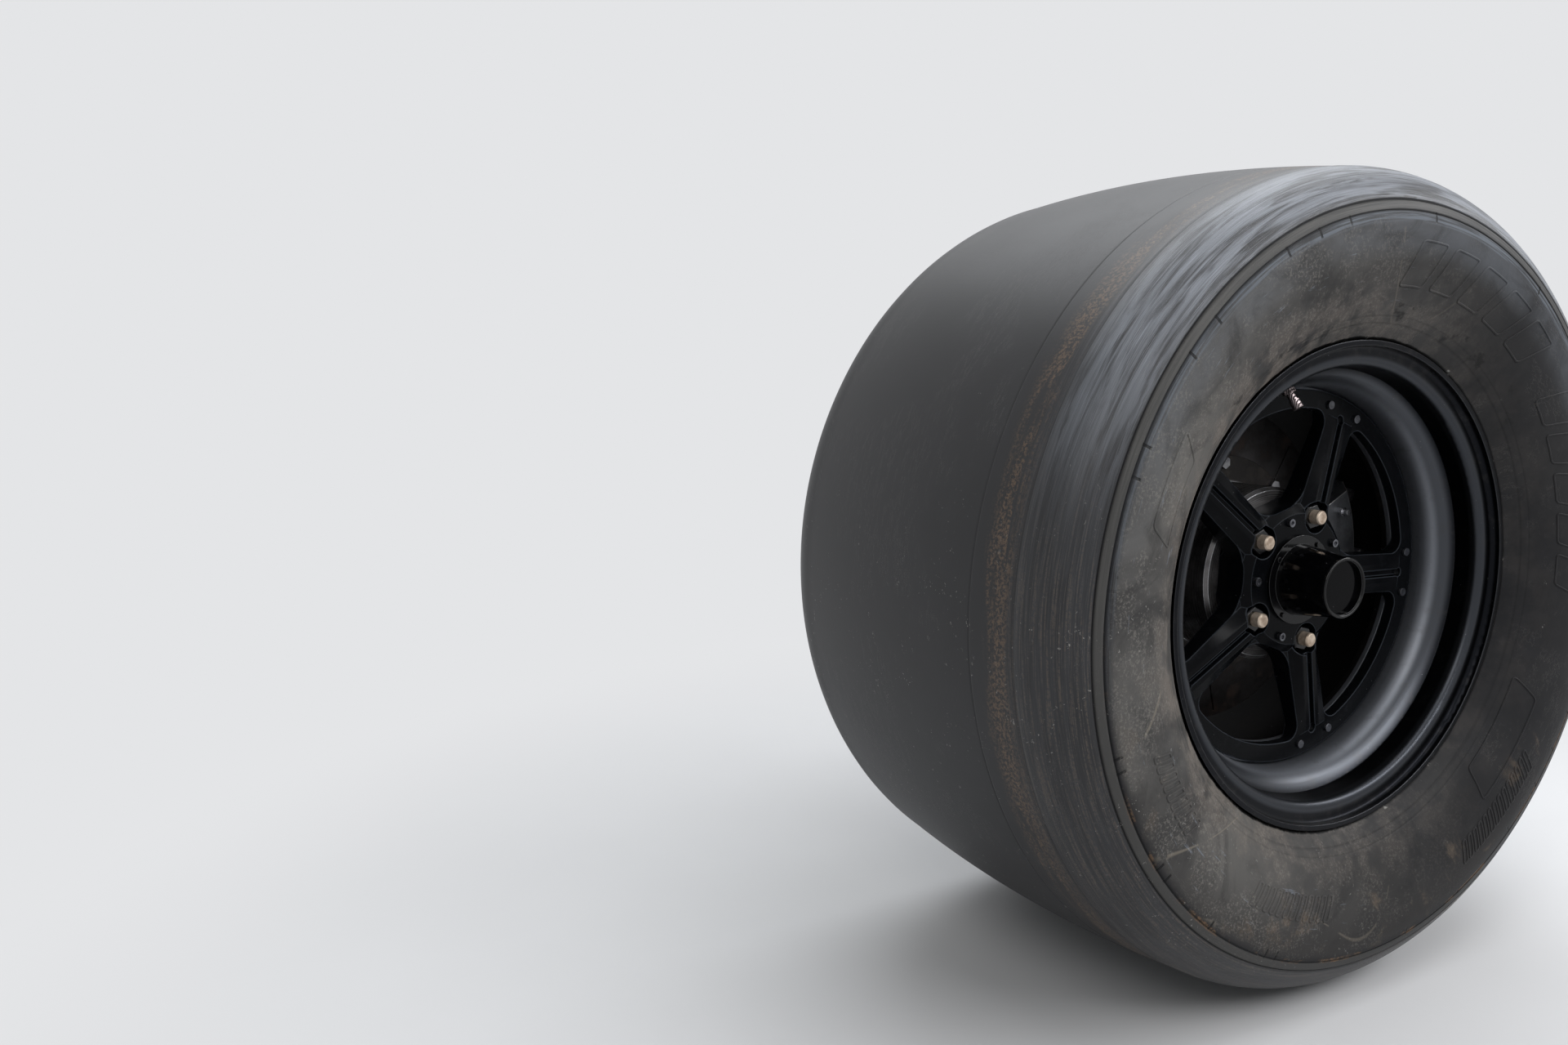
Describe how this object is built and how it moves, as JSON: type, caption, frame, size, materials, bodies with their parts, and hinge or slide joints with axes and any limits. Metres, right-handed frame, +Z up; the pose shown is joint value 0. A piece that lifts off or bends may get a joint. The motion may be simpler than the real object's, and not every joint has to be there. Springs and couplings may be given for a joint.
{
  "type": "rear wheel end of a sports car",
  "caption": "Smooth wide tyre on a deep spoked wheel with a slotted vented disc brake, on a splined axle shaft whose bearing plate bolts to an axle housing.",
  "frame": {"origin": "centre of the face, with its four bolt holes, that meets the end of the axle housing", "axes": "+Y inboard along the wheel's axis, +X to the rear of the car, +Z up"},
  "size_m": [0.711, 0.812, 0.7112],
  "materials": {
    "tyre_rubber": "matt, dusty",
    "satin_black": "satin",
    "gloss_black": "gloss",
    "black_nut": "black, semi-gloss",
    "plated_stud": "yellow plated",
    "dark_steel": "dark, oiled",
    "bright_steel": "bright",
    "machined_aluminium": "machined",
    "disc_iron": "worn, lightly rusted",
    "friction": "rough",
    "caliper_grey": "cast, light grey",
    "bracket_steel": "satin black",
    "shaft_steel": "forged and turned"
  },
  "bodies": {
    "carrier": {"caliper_bracket": "bracket_steel", "bearing_retainer": "bracket_steel", "bearing_outer": "bright_steel", "caliper_outer": "caliper_grey", "caliper_inner": "caliper_grey", "caliper_fittings": "plated_stud", "pistons": "bright_steel", "bridge_bolts": "dark_steel", "pad_pin": "bright_steel", "pad_friction": "friction", "pad_backing": "dark_steel", "ear_bolts": "dark_steel"},
    "wheel": {"tyre": "tyre_rubber", "rim_outer": "satin_black", "rim_inner": "satin_black", "wheel_centre": "satin_black", "ring_bolts": "dark_steel", "wheel_studs": "plated_stud", "lug_nuts": "black_nut", "hub_screws": "bright_steel", "hub_cap": "gloss_black", "cap_plug": "gloss_black", "cap_screws": "bright_steel", "valve_stem": "bright_steel", "valve_cap": "bright_steel", "balance_weight": "dark_steel", "disc_hat": "machined_aluminium", "brake_disc": "disc_iron", "disc_bolts": "dark_steel", "bearing_inner": "bright_steel", "lock_collar": "dark_steel", "axle_shaft": "shaft_steel"}
  },
  "joints": [
    {"name": "wheel_spin", "type": "hinge", "parent": "carrier", "child": "wheel", "pos_m": [0, 0, 0], "axis": [0, 1, 0], "continuous": true}
  ]
}
